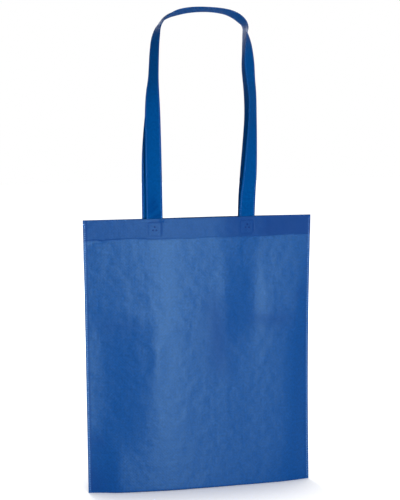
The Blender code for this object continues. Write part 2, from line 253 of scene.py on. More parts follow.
# %% [markdown]
# Small creases are what makes a thin sheet look like cloth that was folded and packed.
# Each is a low ridge or groove along a line, given by its two ends, how far it spreads to
# the left and to the right of the way from the first end to the second, and its height.
# Its crest is narrow, so the light changes quickly from one side to the other.  Where a
# strap is pressed to the hem, the cloth puckers at the corners of the weld; below the hem
# the edge of the turned-in layer shows through as a pressed groove, whose darkness is
# partly painted shade.  A fold mark is given the same way but adds no height: it is
# painted shade, which makes the cloth darker and more matt along it by the share in its
# last number, and stands in for part of the shading of an old fold.

# %% Creases
PATCH_SIZE = 0.0215
PATCH_ROUND = 0.004
PATCH_LINE = 0.0012
PATCH_PRESS = 0.00045
PATCH_DROP = 0.0155
PATCH_SOFT = 0.7
PATCH_FAINTEST = 0.35
HEM_GROOVE = 0.0004
HEM_GROOVE_DROP = 0.0006
HEM_GROOVE_REACH = 0.0011
HEM_WAVES = ((0.0005, 0.021, 0.6), (0.0003, 0.009, 0.0))
HEM_KINK_PLACE = -0.147
HEM_KINK_REACH = 0.006
HEM_KINK_DROP = 0.0016
HEM_LIFT = 0.0010
HEM_LIFT_REACH = 0.08
HEM_SHOWS = (0.15, ((0.45, 0.030, 0.02), (0.40, 0.115, 0.01)))
# Painted shade on the hem's two layers, growing to the right.
HEM_SHADE = (0.40, ((0.35, 0.02, 0.04), (0.45, 0.09, 0.03)))
HANDLE_SPAN = 0.1425
HANDLE_SHIFT = 0.00325
BACK_SPREAD = 0.0055
CREST_SHARE = 0.3

FRONT_CREASES = (
    (-0.074, 0.160, -0.071, 0.282, 0.018, 0.020, 0.00036),
    (-0.086, 0.160, -0.068, 0.194, 0.010, 0.008, 0.00025),
    (-0.094, 0.176, -0.074, 0.183, 0.006, 0.010, 0.00030),
    (-0.120, -0.070, -0.143, 0.118, 0.024, 0.055, 0.00280),
    (-0.141, 0.062, -0.166, 0.106, 0.014, 0.016, 0.00080),
    (-0.185, 0.287, -0.066, 0.271, 0.020, 0.009, 0.00080),
    (0.010, 0.262, 0.060, 0.262, 0.016, 0.010, 0.00040),
    (-0.146, 0.100, -0.166, 0.112, 0.008, 0.006, -0.00035),
    (0.137, 0.010, 0.148, 0.120, 0.012, 0.020, 0.00080),
    (0.148, 0.090, 0.151, 0.208, 0.012, 0.020, 0.00090),
    (0.148, 0.262, 0.170, 0.310, 0.020, 0.012, 0.00090),
    (0.092, 0.270, 0.190, 0.264, 0.020, 0.008, 0.00110),
    (0.082, 0.190, 0.082, 0.400, 0.014, 0.022, 0.00085),
    (0.036, 0.215, 0.036, 0.370, 0.016, 0.016, -0.00025),
    (0.162, 0.255, 0.166, 0.400, 0.030, 0.008, 0.00090),
    (0.160, 0.150, 0.168, 0.340, 0.030, 0.008, 0.00130),
    (-0.1080, 0.388, -0.0960, 0.356, 0.005, 0.003, 0.00022),
    (-0.0200, 0.390, -0.0150, 0.350, 0.003, 0.004, -0.00012),
    (-0.1780, 0.3824, -0.1400, 0.3880, 0.0026, 0.0014, -0.00110),
    (-0.082, 0.4168, -0.058, 0.4165, 0.0016, 0.0012, -0.00050),
    (-0.0600, 0.4150, -0.0530, 0.4190, 0.0016, 0.0016, 0.00090),
    (-0.0560, 0.4140, -0.0500, 0.4170, 0.0016, 0.0016, -0.00085),
    (0.058, 0.4165, 0.086, 0.4165, 0.0020, 0.0014, -0.00060),
    (0.0560, 0.3920, 0.0440, 0.4080, 0.0030, 0.0060, -0.00045),
    (0.0380, 0.3905, 0.0260, 0.4080, 0.0030, 0.0060, -0.00040),
    (0.0860, 0.3900, 0.1080, 0.4150, 0.0060, 0.0120, 0.00050),
    (0.0680, 0.387, 0.0690, 0.335, 0.006, 0.004, -0.00025),
    (0.1480, 0.3900, 0.1660, 0.3740, 0.0030, 0.0060, -0.00050),
)
BACK_CREASES = (
    (-0.0700, 0.387, -0.0720, 0.330, 0.006, 0.008, -0.00050),
    (0.0780, 0.385, 0.0800, 0.350, 0.004, 0.006, -0.00030),
    (0.1550, 0.383, 0.1680, 0.374, 0.004, 0.003, -0.00040),
    (-0.1620, 0.383, -0.1500, 0.384, 0.001, 0.001, -0.00030),
    (0.1300, 0.020, 0.1450, 0.110, 0.008, 0.018, 0.00080),
    (-0.1480, 0.090, -0.1510, 0.200, 0.018, 0.010, 0.00080),
    (-0.1500, 0.272, 0.0400, 0.268, 0.008, 0.008, 0.00050),
)
# Fold marks are painted shade: they darken the front along old folds and add no height.
PAINTED_FOLD_SHADE = (
    (0.066, 0.264, 0.160, 0.258, 0.010, 0.012, 0.42),
    (0.168, 0.312, 0.146, 0.284, 0.003, 0.003, 0.50),
    (0.018, 0.320, 0.032, 0.160, 0.014, 0.014, 0.55),
    (-0.172, 0.262, -0.078, 0.258, 0.006, 0.012, 0.25),
    (-0.170, 0.092, -0.142, 0.074, 0.004, 0.010, 0.40),
    (-0.168, 0.050, -0.158, -0.030, 0.014, 0.014, 0.50),
)

print("strap squares", 1000 * PATCH_SIZE, "mm wide, hem edge", 1000 * HEM_DEPTH, "mm down")

# %% [markdown]
# Each function below takes places on a panel, one or an array, and gives a height or a
# share there: of the creases, the pressed lines and the hem.

# %% Heights and shares on a panel
def crease(x, z, marks):
    """Height added by a list of creases, each with a narrow crest and two sides."""
    total = np.zeros(np.broadcast(x, z).shape)
    for x0, z0, x1, z1, left, right, height in marks:
        length = math.hypot(x1 - x0, z1 - z0)
        t = np.clip(((x - x0) * (x1 - x0) + (z - z0) * (z1 - z0)) / length ** 2, 0.0, 1.0)
        away = np.hypot(x - x0 - t * (x1 - x0), z - z0 - t * (z1 - z0))
        on_left = (x1 - x0) * (z - z0) - (z1 - z0) * (x - x0) > 0
        crest = CREST_SHARE * min(left, right)
        soft = np.hypot(away, crest) - crest
        total += height * np.exp(-soft / np.where(on_left, left, right)) * (1 - (2 * t - 1) ** 2)
    return total


def strap_ends(side):
    """X of the middle of a handle's left and right end."""
    left = HANDLE_SHIFT - HANDLE_SPAN / 2 - (BACK_SPREAD if side == BACK else 0.0)
    return left, HANDLE_SHIFT + HANDLE_SPAN / 2


def patch_line(side, x, z):
    """Pressed line round each strap end: 1 at its upper right, fainter at its lower left."""
    on_line = np.zeros(np.broadcast(x, z).shape)
    straight = PATCH_SIZE / 2 - PATCH_ROUND
    for middle in strap_ends(side):
        dx = np.abs(x - middle) - straight
        dz = np.abs(z - (BAG_HEIGHT - PATCH_DROP)) - straight
        outside = np.hypot(np.maximum(dx, 0), np.maximum(dz, 0))
        distance = outside + np.minimum(np.maximum(dx, dz), 0) - PATCH_ROUND + PATCH_LINE / 2
        towards = (x - middle + z - BAG_HEIGHT + PATCH_DROP) / PATCH_SIZE
        clear = PATCH_FAINTEST + (1 - PATCH_FAINTEST) * ease(0.5 + towards)
        on_line += clear * np.exp(-(distance / (PATCH_SOFT * PATCH_LINE)) ** 2)
    return on_line


def hem_edge(x):
    """Height of the hem's lower edge, which wanders a little and has a kink at the left."""
    wander = sum(height * np.sin(x / reach + start) for height, reach, start in HEM_WAVES)
    kink = HEM_KINK_DROP * np.exp(-((x - HEM_KINK_PLACE) / HEM_KINK_REACH) ** 2)
    return BAG_HEIGHT - HEM_DEPTH + wander - kink + HEM_LIFT * ease(-x / HEM_LIFT_REACH)


def stepped(place, least, steps):
    """A share that grows along a way by steps, each with its rise, start and reach."""
    return least + sum(rise * ease((place - start) / reach) for rise, start, reach in steps)


def hem_shows(x):
    """How clearly the hem's edge shows: a thin line on the left, nearly none on the right."""
    return stepped(-x, *HEM_SHOWS)


# The hem's edge line is a pressed groove, and its darkness is partly painted shade, strongest on the
# left.
def hem_groove(x, z):
    """1 in the pressed line under the hem's edge, 0 away from it; its darkness is partly painted shade.
    """
    return hem_shows(x) * np.exp(-((z - hem_edge(x) + HEM_GROOVE_DROP) / HEM_GROOVE_REACH) ** 2)


def hem_painted_shade(x):
    """Painted shade on the hem's two layers: darker and more matt to the right."""
    return stepped(x, *HEM_SHADE)


def surface(side, x, z):
    """Y of the inner face with the small creases, which both layers of the hem follow."""
    marks = FRONT_CREASES if side == FRONT else BACK_CREASES
    pressed_in = PATCH_PRESS * patch_line(side, x, z) + HEM_GROOVE * hem_groove(x, z)
    small = crease(x, z, marks) - pressed_in
    return inner_face(side, x, z) + side * small * (1 - across(x, z) ** 8)


print(len(FRONT_CREASES), "creases and", len(PAINTED_FOLD_SHADE), "fold marks in front,",
      len(BACK_CREASES), "creases behind")

# %% [markdown]
# A material starts from sRGB colours, and one function turns them to linear.  A second
# adds a node with its settings and inputs, so that a tree reads as a list.  The others
# start a material, and tell the rays that see the room from those that light the bag.

# %% Helpers for node trees
def linear(code):
    """sRGB hex to a linear colour with alpha."""
    parts = [int(code[n:n + 2], 16) / 255 for n in (1, 3, 5)]
    return [p / 12.92 if p <= 0.04045 else ((p + 0.055) / 1.055) ** 2.4 for p in parts] + [1.0]


def node(tree, kind, inputs=(), **settings):
    """Add a node with its settings, and a link or a value for each given input."""
    made = tree.nodes.new(kind)
    for key, value in settings.items():
        setattr(made, key, value)
    for key, given in dict(inputs).items():
        if isinstance(given, bpy.types.NodeSocket):
            tree.links.new(given, made.inputs[key])
        else:
            made.inputs[key].default_value = given
    return made


def new_material(name):
    """A material with its node tree and its shader."""
    material = bpy.data.materials.new(name)
    material.use_nodes = True
    return material, material.node_tree, material.node_tree.nodes["Principled BSDF"]


def shown_rays(tree):
    """1 for camera, glossy and transmission rays, 0 for the light that falls on things."""
    ray = node(tree, "ShaderNodeLightPath").outputs
    shown = ray["Is Camera Ray"]
    for kind in ("Is Glossy Ray", "Is Transmission Ray"):
        shown = node(tree, "ShaderNodeMath", {0: shown, 1: ray[kind]}, operation="MAXIMUM").outputs[0]
    return shown


print("a mid blue is", [round(part, 3) for part in linear("#003D7E")[:3]], "in linear light")

# %% [markdown]
# Spunbond polypropylene is a felt of endless fibres, pressed together at a grid of small
# points.  The points are clear and a little sunk; the felt between them has a satin
# shine, and it is cloudy because the fibres lie unevenly.  Over a few centimetres the
# whole cloth is softly rumpled.  Where a tool has pressed it, it is darker and more matt;
# painted shade uses the same darkening along the fold marks, the strap's crumples and the
# hem's doubled layers.  The meshes carry an attribute, pressed, for both.  The fibres lie
# along the roll, so the shine is stretched one way on the panels.  The straps are folded
# and rubbed, and are nearly matt: their index is set below that of polypropylene, which
# takes the white room's reflection off their turned edges.  The cloth's own UV map is in
# metres, so every scale below is a real size.  On the real cloth the points stand an
# estimated 1.6 mm apart, and here 2.2 mm, so that they just show.  Each unevenness is a
# noise, given by its size in metres, its detail and its roughness, and each bump by its
# strength and its depth in metres.

# %% Fabric
POINT_PITCH = 0.0022
POINT_EDGE = 0.45
POINT_MIDDLE = 0.85
POINT_TINT = 0.30
CLOUD = (0.0035, 4.0, 0.65)
FIBRE = (0.00035, 2.0, 0.6)
RUMPLE = (0.018, 1.5, 0.5)
CLOUD_LOW = 0.35
CLOUD_HIGH = 0.65
CLOUD_ROUGH = 0.06
PRESSED_MATT = 0.22
SHINE_TURN = 0.25
SHINE_TINT = "#A8D6EE"
FIBRE_BUMP = (0.35, 0.00006)
POINT_BUMP = (0.6, 0.00008)
CLOUD_BUMP = (0.5, 0.00030)
RUMPLE_BUMP = (1.0, 0.00070)
POLYPROPYLENE_INDEX = 1.49


def spunbond(name, colour, cloudy, melted, shine, stretch, index, least_rough):
    """Spunbond polypropylene: colour of the felt, of its thin spots and of pressed lines."""
    material, tree, shader = new_material(name)
    cloth = node(tree, "ShaderNodeUVMap", uv_map="cloth").outputs["UV"]
    # The pressed attribute carries the real pressed and weld lines, and also painted shade along the fold
    # marks, the strap's crumples and the hem's layers.
    pressed = node(tree, "ShaderNodeAttribute", attribute_name="pressed").outputs["Fac"]

    apart = node(tree, "ShaderNodeSeparateXYZ", {"Vector": cloth}).outputs
    waves = []
    for axis in ("X", "Y"):
        turns = node(tree, "ShaderNodeMath", {0: apart[axis], 1: math.pi / POINT_PITCH},
                     operation="MULTIPLY")
        waves.append(node(tree, "ShaderNodeMath", {0: turns.outputs[0]}, operation="SINE").outputs[0])
    crossed = node(tree, "ShaderNodeMath", {0: waves[0], 1: waves[1]}, operation="MULTIPLY")
    points = node(tree, "ShaderNodeMapRange",
                  {"Value": crossed.outputs[0], "From Min": POINT_EDGE, "From Max": POINT_MIDDLE},
                  interpolation_type="SMOOTHSTEP").outputs["Result"]

    cloud, fibre, rumple = (
        node(tree, "ShaderNodeTexNoise", {"Vector": cloth, "Scale": 1 / size, "Detail": detail,
                                          "Roughness": roughness}).outputs["Fac"]
        for size, detail, roughness in (CLOUD, FIBRE, RUMPLE))
    clouds = node(tree, "ShaderNodeMapRange",
                  {"Value": cloud, "From Min": CLOUD_LOW, "From Max": CLOUD_HIGH})
    felt = node(tree, "ShaderNodeMix",
                {0: clouds.outputs["Result"], 6: linear(cloudy), 7: linear(colour)}, data_type="RGBA")
    clear = node(tree, "ShaderNodeMath", {0: points, 1: POINT_TINT, 2: pressed},
                 operation="MULTIPLY_ADD", use_clamp=True)
    tint = node(tree, "ShaderNodeMix",
                {0: clear.outputs[0], 6: felt.outputs[2], 7: linear(melted)}, data_type="RGBA")
    tree.links.new(tint.outputs[2], shader.inputs["Base Color"])

    rough = node(tree, "ShaderNodeMapRange",
                 {"Value": cloud, "To Min": least_rough, "To Max": least_rough + CLOUD_ROUGH})
    matt = node(tree, "ShaderNodeMath", {0: pressed, 1: PRESSED_MATT, 2: rough.outputs["Result"]},
                operation="MULTIPLY_ADD")
    tree.links.new(matt.outputs[0], shader.inputs["Roughness"])
    shader.inputs["Specular IOR Level"].default_value = shine
    shader.inputs["Anisotropic"].default_value = stretch
    shader.inputs["Anisotropic Rotation"].default_value = SHINE_TURN
    along = node(tree, "ShaderNodeTangent", direction_type="UV_MAP", uv_map="cloth")
    tree.links.new(along.outputs["Tangent"], shader.inputs["Tangent"])
    shader.inputs["Specular Tint"].default_value = linear(SHINE_TINT)
    shader.inputs["IOR"].default_value = index

    sunk = node(tree, "ShaderNodeMath", {0: points, 1: -1.0}, operation="MULTIPLY").outputs[0]
    below = {}
    for height, (strength, depth) in ((fibre, FIBRE_BUMP), (sunk, POINT_BUMP),
                                      (cloud, CLOUD_BUMP), (rumple, RUMPLE_BUMP)):
        bump = node(tree, "ShaderNodeBump",
                    {"Height": height, "Strength": strength, "Distance": depth, **below})
        below = {"Normal": bump.outputs["Normal"]}
    tree.links.new(below["Normal"], shader.inputs["Normal"])
    return material


panel_fabric = spunbond("spunbond polypropylene, bag",
                        colour="#003268", cloudy="#003D7E", melted="#002B68", shine=0.33,
                        stretch=0.72, index=POLYPROPYLENE_INDEX, least_rough=0.38)
strap_fabric = spunbond("spunbond polypropylene, strap",
                        colour="#00386F", cloudy="#004280", melted="#002A64", shine=0.12,
                        stretch=0.0, index=1.20, least_rough=0.58)
print("fabrics:", panel_fabric.name, "and", strap_fabric.name)

# %% [markdown]
# A weld point is a spot where a ribbed wheel has melted the layers together.  The plastic
# is clear and smooth there, with no fibres left.  Along the thin edges of the bag and of
# the straps light comes through it, and those points are painted pale for that light, as
# painted light; over the hem's layers the same plastic is given a dark colour instead.

# %% Fused polypropylene
MELT = 0.003
MELT_ROUGH = 0.45


def fused(name, dark, light, shine):
    """Melted polypropylene between two colours, clear to cloudy over a few millimetres."""
    material, tree, shader = new_material(name)
    shader.inputs["Roughness"].default_value = MELT_ROUGH
    shader.inputs["Specular IOR Level"].default_value = shine
    shader.inputs["IOR"].default_value = POLYPROPYLENE_INDEX
    place = node(tree, "ShaderNodeTexCoord").outputs["Object"]
    melt = node(tree, "ShaderNodeTexNoise", {"Vector": place, "Scale": 1 / MELT, "Detail": 2.0})
    colour = node(tree, "ShaderNodeMix",
                  {0: melt.outputs["Fac"], 6: linear(dark), 7: linear(light)}, data_type="RGBA")
    tree.links.new(colour.outputs[2], shader.inputs["Base Color"])
    return material


# Painted light: the edge and strap points are pale for light that comes through them; the hem points are
# the same plastic, dark without it.
pale_points = fused("fused polypropylene, edge points", "#2E68AC", "#6C98CE", 0.5)
dark_points = fused("fused polypropylene, hem points", "#001650", "#002460", 0.06)
strap_points = fused("fused polypropylene, strap points", "#2060AC", "#4C8ACC", 0.12)
print("weld points:", pale_points.name + ",", dark_points.name, "and", strap_points.name)

# %% [markdown]
# The bag is one long strip of cloth.  Followed from inside the front it comes up the
# turned-in hem, over the rim, down the front, across the base, up the back and over into
# the back hem.  So the mesh is one grid: a row for each height on the way, a column for
# each place across.  Rows and columns lie closer where small creases and welds are.  The
# flat length walked so far is the UV map's second number, which keeps the weave true.

# %% Rows and columns of the sheet
FINE_ZONES = ((-0.176, -0.140), (-0.084, -0.054), (-0.024, -0.004), (0.055, 0.088))
FINE_STEP = 0.0011
WIDE_STEP = 0.0034
TURNED_ROWS = 6
RIM_STEPS = 4
ROUND_STEPS = 5
BASE_ROWS = 6
NEAR_DEPTH = 0.064
ROW_STEPS = {FRONT: (0.0010, 0.0032), BACK: (0.0022, 0.0100)}


def column_places():
    """Flat distance of each column from the bag's middle."""
    half = BAG_WIDTH / 2
    places, at = [], -half
    while at < half - FINE_STEP / 2:
        places.append(at)
        in_weld = at < -half + SIDE_WELD or at > half - SIDE_WELD
        fine = in_weld or any(low <= at < high for low, high in FINE_ZONES)
        at += FINE_STEP if fine else WIDE_STEP
    return np.array(places + [half])


def panel_rows(side):
    """Heights from the rim down to the base's round, closer together in and under the hem."""
    near_step, far_step = ROW_STEPS[side]
    near = np.arange(BAG_HEIGHT - SHEET, BAG_HEIGHT - NEAR_DEPTH, -near_step)
    far = np.linspace(near[-1], BASE_ROUND, round((near[-1] - BASE_ROUND) / far_step))
    return np.concatenate([near, far[1:]])


columns = column_places()
print(len(columns), "columns,", len(panel_rows(FRONT)), "rows in front,", len(panel_rows(BACK)), "behind")

# %% [markdown]
# The rows of the front are made from the hem's inner edge down to the base, and those of
# the back the same way.  The base joins the two, and the back's rows are then turned round.
# Each row also says how pressed the cloth is there.

# %% The folded sheet
HEM_INSET = 0.0005
MARK_SHARE = 0.8
WELD_REACH = 0.0010


def sheet_row(z):
    """X of every column at a height: the flat places, drawn in at the sides."""
    left, right = side_edges(z)
    return left + (columns / BAG_WIDTH + 0.5) * (right - left)


def side_rows(side):
    """Rows of one side, from the hem's inner edge to the base, as x, y, z and pressed."""
    rows = []
    top = BAG_HEIGHT - SHEET
    for z in np.linspace(BAG_HEIGHT - HEM_DEPTH + HEM_INSET, top, TURNED_ROWS):
        x = sheet_row(z)
        y = surface(side, x, z) + side * SHEET / 2
        rows.append((x, y, np.full_like(x, z), np.zeros_like(x)))
    for step in range(1, RIM_STEPS):
        angle = math.pi * step / RIM_STEPS
        x = sheet_row(BAG_HEIGHT)
        y = surface(side, x, BAG_HEIGHT) + side * SHEET * (1 - math.cos(angle) / 2)
        over = top + SHEET / 2 * math.sin(angle)
        rows.append((x, y, np.full_like(x, over), np.zeros_like(x)))
    for z in panel_rows(side):
        x = sheet_row(z)
        layers = 1 + ease((z - hem_edge(x)) / HEM_STEP + 0.5)
        from_edge = BAG_WIDTH / 2 - np.abs(columns)
        weld = np.exp(-((from_edge - SIDE_WELD) / WELD_REACH) ** 2)
        # Painted shade: the front's fold marks darken the cloth here, with no height.
        pressed_and_painted_shade = crease(x, z, PAINTED_FOLD_SHADE) if side == FRONT else 0.0
        marked = MARK_SHARE * (patch_line(side, x, z) + hem_groove(x, z) + weld)
        # Painted shade: the hem's doubled layers are darkened, more to the right.
        pressed = np.clip(marked + pressed_and_painted_shade + (layers - 1) * hem_painted_shade(x), 0.0, 1.0)
        y = surface(side, x, z) + side * (layers - 0.5) * SHEET
        rows.append((x, y, np.full_like(x, z), pressed))
    for step in range(1, ROUND_STEPS + 1):
        angle = math.pi / 2 * (1 - step / ROUND_STEPS)
        low = SHEET / 2 + (BASE_ROUND - SHEET / 2) * (1 - math.cos(angle))
        inset = 1 - (BASE_ROUND / (BASE_DEPTH / 2)) * (1 - math.sin(angle))
        x = sheet_row(low)
        y = inset * (surface(side, x, 0) + side * SHEET / 2)
        rows.append((x, y, np.full_like(x, low), np.zeros_like(x)))
    return rows


def grid_object(name, rows, places, material, closed=False):
    """A mesh from rows of x, y, z and pressed, with the cloth's flat sizes as its UV map."""
    points = np.array([np.stack(row[:3], 1) for row in rows])
    pressed = np.array([row[3] for row in rows])
    count = points.shape[1]
    walked = np.linalg.norm(np.diff(points, axis=0), axis=2).mean(1)
    walked = np.concatenate([[0.0], np.cumsum(walked)])
    cells = [(r, c) for r in range(len(rows) - 1) for c in range(count if closed else count - 1)]

    def corner(r, c):
        return r * count + c % count

    faces = [(corner(r, c), corner(r, c + 1), corner(r + 1, c + 1), corner(r + 1, c)) for r, c in cells]
    mesh = bpy.data.meshes.new(name)
    mesh.from_pydata(points.reshape(-1, 3).tolist(), [], faces)
    mesh.attributes.new("pressed", "FLOAT", "POINT").data.foreach_set("value", pressed.ravel())
    ends = list(places) + ([places[-1] + places[-1] - places[-2]] if closed else [])
    uv = [(ends[c + dc], walked[r + dr]) for r, c in cells for dr, dc in ((0, 0), (0, 1), (1, 1), (1, 0))]
    mesh.uv_layers.new(name="cloth").data.foreach_set("uv", np.array(uv).ravel())
    mesh.materials.append(material)
    return new_object(name, mesh), walked[-1]


front_rows, back_rows = side_rows(FRONT), side_rows(BACK)
base_rows = [tuple(a + (b - a) * step / BASE_ROWS for a, b in zip(front_rows[-1], back_rows[-1]))
             for step in range(1, BASE_ROWS)]
all_rows = front_rows + base_rows + back_rows[::-1]
bag_sheet, sheet_length = grid_object("bag_sheet", all_rows, columns, panel_fabric)
print(f"sheet: {BAG_WIDTH:.3f} by {sheet_length:.3f} m flat")

# %% [markdown]
# Solidify gives the strip its thickness, half to each side.  The evaluated object is then
# made a plain mesh: the modifier goes, and the normals are turned outwards.

# %% Thickness of the sheet
def bake(piece, sharp_angle=50):
    """Make what is on a piece a plain mesh with outward normals and smooth faces."""
    graph = bpy.context.evaluated_depsgraph_get()
    done = bpy.data.meshes.new_from_object(piece.evaluated_get(graph))
    piece.modifiers.clear()
    piece.data = done
    bm = bmesh.new()
    bm.from_mesh(done)
    bmesh.ops.recalc_face_normals(bm, faces=bm.faces)
    bm.to_mesh(done)
    bm.free()
    done.shade_smooth()
    done.set_sharp_from_angle(angle=math.radians(sharp_angle))
    return sum(len(face.vertices) - 2 for face in done.polygons)


wall = bag_sheet.modifiers.new("cloth", "SOLIDIFY")
wall.thickness = CLOTH
wall.offset = 0.0
print("bag sheet:", bake(bag_sheet), "triangles")
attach(bag_sheet, "root")
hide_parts("bag_body")

# %% [markdown]
# Each handle is a strip of the same cloth, folded in two along its length and welded near
# both edges.  Its two ends lie flat on the inside of the hem.  From there it rises, turns
# until it is edge on, and passes over the top.  The route is a list of chosen points, the
# same as the solids have: share of the span, share of the rise, and turn in degrees.

# %% Sizes and routes of the handles
STRAP_WIDTH = 0.025
STRAP_THICKNESS = 0.0011
STRAP_TUCK = 0.029
HANDLE_RISE = 0.3075
HANDLE_GAP = 0.003
HANDLE_LEAN = 0.6
HANDLE_CLEAR = 0.004
CLEARANCE = 0.0003
ROUTE_STEPS = 16
STRAP_STEP = 0.0018

FRONT_ROUTE = (
    (0.000, 0.00, 0), (-0.004, 0.15, 10), (-0.010, 0.32, 20), (-0.015, 0.50, 32),
    (-0.013, 0.60, 46), (-0.003, 0.68, 60), (0.010, 0.80, 65), (0.027, 0.87, 70),
    (0.065, 0.925, 84), (0.150, 0.963, 98), (0.250, 0.985, 107), (0.400, 0.998, 106),
    (0.580, 1.000, 103), (0.750, 0.991, 104), (0.860, 0.972, 107), (0.935, 0.945, 105),
    (0.977, 0.918, 92), (0.990, 0.890, 76), (1.003, 0.83, 56), (1.010, 0.75, 42),
    (1.025, 0.67, 46), (1.043, 0.59, 50), (1.046, 0.48, 47), (1.040, 0.35, 35),
    (1.030, 0.22, 21), (1.012, 0.11, 9), (1.000, 0.00, 0),
)
BACK_ROUTE = (
    (0.000, 0.00, 0), (0.000, 0.15, 8), (0.006, 0.32, 20), (0.030, 0.50, 38),
    (0.045, 0.62, 56), (0.062, 0.78, 68), (0.078, 0.87, 74), (0.110, 0.925, 84),
    (0.190, 0.966, 96), (0.290, 0.988, 102), (0.440, 1.002, 102), (0.620, 1.004, 102),
    (0.780, 0.996, 102), (0.890, 0.976, 100), (0.960, 0.946, 96), (1.000, 0.918, 90),
    (1.008, 0.885, 84), (1.014, 0.80, 76), (1.016, 0.72, 72), (1.040, 0.60, 70),
    (1.052, 0.48, 62), (1.042, 0.34, 46), (1.025, 0.20, 24), (1.008, 0.10, 8),
    (1.000, 0.00, 0),
)
print(len(FRONT_ROUTE), "points in the front route,", len(BACK_ROUTE), "in the back one")

# %% [markdown]
# A smooth curve goes through the chosen points.  Below the hem's rim a strap follows the
# inside of the panel, and above it the lean and the turn grow with the height.

# %% Middle lines of the handles
def curve_through(points, step):
    """Points a step apart along a smooth curve through the given ones, and its length."""
    points = [np.array(p) for p in points]
    ends = [2 * points[0] - points[1]] + points + [2 * points[-1] - points[-2]]
    dense = []
    for p0, p1, p2, p3 in zip(ends, ends[1:], ends[2:], ends[3:]):
        for k in range(ROUTE_STEPS):
            t = k / ROUTE_STEPS
            dense.append(0.5 * (2 * p1 + (p2 - p0) * t + (2 * p0 - 5 * p1 + 4 * p2 - p3) * t * t
                                + (3 * p1 - p0 - 3 * p2 + p3) * t ** 3))
    dense = np.array(dense + [points[-1]])
    lengths = np.concatenate([[0.0], np.cumsum(np.linalg.norm(np.diff(dense[:, :3], axis=0), axis=1))])
    wanted = np.linspace(0.0, lengths[-1], round(lengths[-1] / step) + 1)
    return np.stack([np.interp(wanted, lengths, dense[:, n]) for n in range(4)], 1), wanted


def strap_stations(side, route):
    """Middle line of a handle as x, y, z and turn in radians, seated on the hem at both ends."""
    left, right = strap_ends(side)

    def seated(x, z):
        """Place and turn of a strap that lies on the inside of the panel."""
        reach = STRAP_WIDTH / 2
        slope = (inner_face(side, x + reach, z) - inner_face(side, x - reach, z)) / STRAP_WIDTH
        turn = math.atan(slope) * (1 if side == FRONT else -1) * (-1 if x < (left + right) / 2 else 1)
        stand_off = CLEARANCE + STRAP_THICKNESS / 2
        return (x, float(inner_face(side, x, min(z, BAG_HEIGHT))) - side * stand_off, z, turn)

    arch = side * (STRAP_WIDTH + HANDLE_GAP) / 2
    tucks = (-STRAP_TUCK, -STRAP_TUCK / 2, 0.0, HANDLE_CLEAR)
    stations = [seated(left, BAG_HEIGHT + dz) for dz in tucks]
    feet = stations[-1], seated(right, BAG_HEIGHT + tucks[-1])
    for along, up, turn in route[1:-1]:
        start = feet[0 if along < 0.5 else 1]
        lean = float(ease(up / HANDLE_LEAN))
        stations.append((left + along * (right - left), start[1] + (arch - start[1]) * lean,
                         BAG_HEIGHT + up * HANDLE_RISE, math.radians(turn) + start[3] * (1 - lean)))
    return stations + [seated(right, BAG_HEIGHT + dz) for dz in reversed(tucks)]


print(len(strap_stations(FRONT, FRONT_ROUTE)), "stations along the front handle")

# %% [markdown]
# The strap's section is swept along the route by hand, because it has to turn as it goes.
# The section is a closed ring of points: a soft pillow between two weld lines, with a
# thin lip outside each.  Where the strap leaves the bag the cloth is crumpled, so a few
# slanting creases are added there, in the strap's own length and width.  The cloth is
# painted darker and more matt on them, as painted shade in the creases, as on the fold
# marks of the panel.

# %% Straps
STRAP_LIP = 0.0022
LIP_THICKNESS = 0.0007
LIP_EDGE = 0.00012
LIP_BEVEL = 0.0004
WELD_SLOPE = 0.0006
WELD_THICKNESS = 0.0005
STRAP_WELD_REACH = 0.0005
PILLOW_INSET = 0.0012
PILLOW_POINTS = 11
PILLOW_FALL = 0.00008
# Strength of the painted shade along the strap's crumples.
STRAP_CREASE_SHADE = 600.0
STRAP_CREASES = {
    (FRONT, 0): ((0.034, 0.012, 0.054, -0.010, 0.003, 0.002, 0.00120),
                 (0.043, 0.012, 0.062, -0.006, 0.003, 0.002, 0.00090),
                 (0.029, 0.006, 0.040, -0.012, 0.003, 0.003, -0.00110),
                 (0.054, 0.010, 0.074, -0.008, 0.004, 0.003, 0.00040)),
    (FRONT, 1): ((0.032, -0.008, 0.044, 0.006, 0.003, 0.002, 0.00035),
                 (0.040, -0.004, 0.052, 0.009, 0.002, 0.003, -0.00030)),
    (BACK, 0): ((0.034, 0.006, 0.048, -0.008, 0.003, 0.002, 0.00045),
                (0.042, 0.008, 0.054, -0.004, 0.002, 0.003, -0.00040)),
    (BACK, 1): ((0.034, -0.008, 0.046, 0.006, 0.003, 0.002, 0.00045),
                (0.044, -0.006, 0.056, 0.008, 0.002, 0.003, -0.00040)),
}


def strap_section():
    """Offsets across and through the strap, and how pressed each is: front face, then back."""
    half = STRAP_WIDTH / 2
    weld = half - STRAP_LIP
    inside = np.linspace(-weld + PILLOW_INSET, weld - PILLOW_INSET, PILLOW_POINTS)
    pillow = STRAP_THICKNESS / 2 - PILLOW_FALL * (inside / weld) ** 2
    lip = np.array([half, half - LIP_BEVEL, weld + WELD_SLOPE, weld])
    lip_height = np.array([LIP_EDGE, LIP_THICKNESS / 2, LIP_THICKNESS / 2, WELD_THICKNESS / 2])
    a = np.concatenate([-lip, inside, lip[::-1]])
    b = np.concatenate([lip_height, pillow, lip_height[::-1]])
    pressed = np.exp(-((np.abs(a) - weld) / STRAP_WELD_REACH) ** 2)
    return (np.concatenate([a, a[::-1]]), np.concatenate([b, -b[::-1]]),
            np.concatenate([pressed, pressed]))


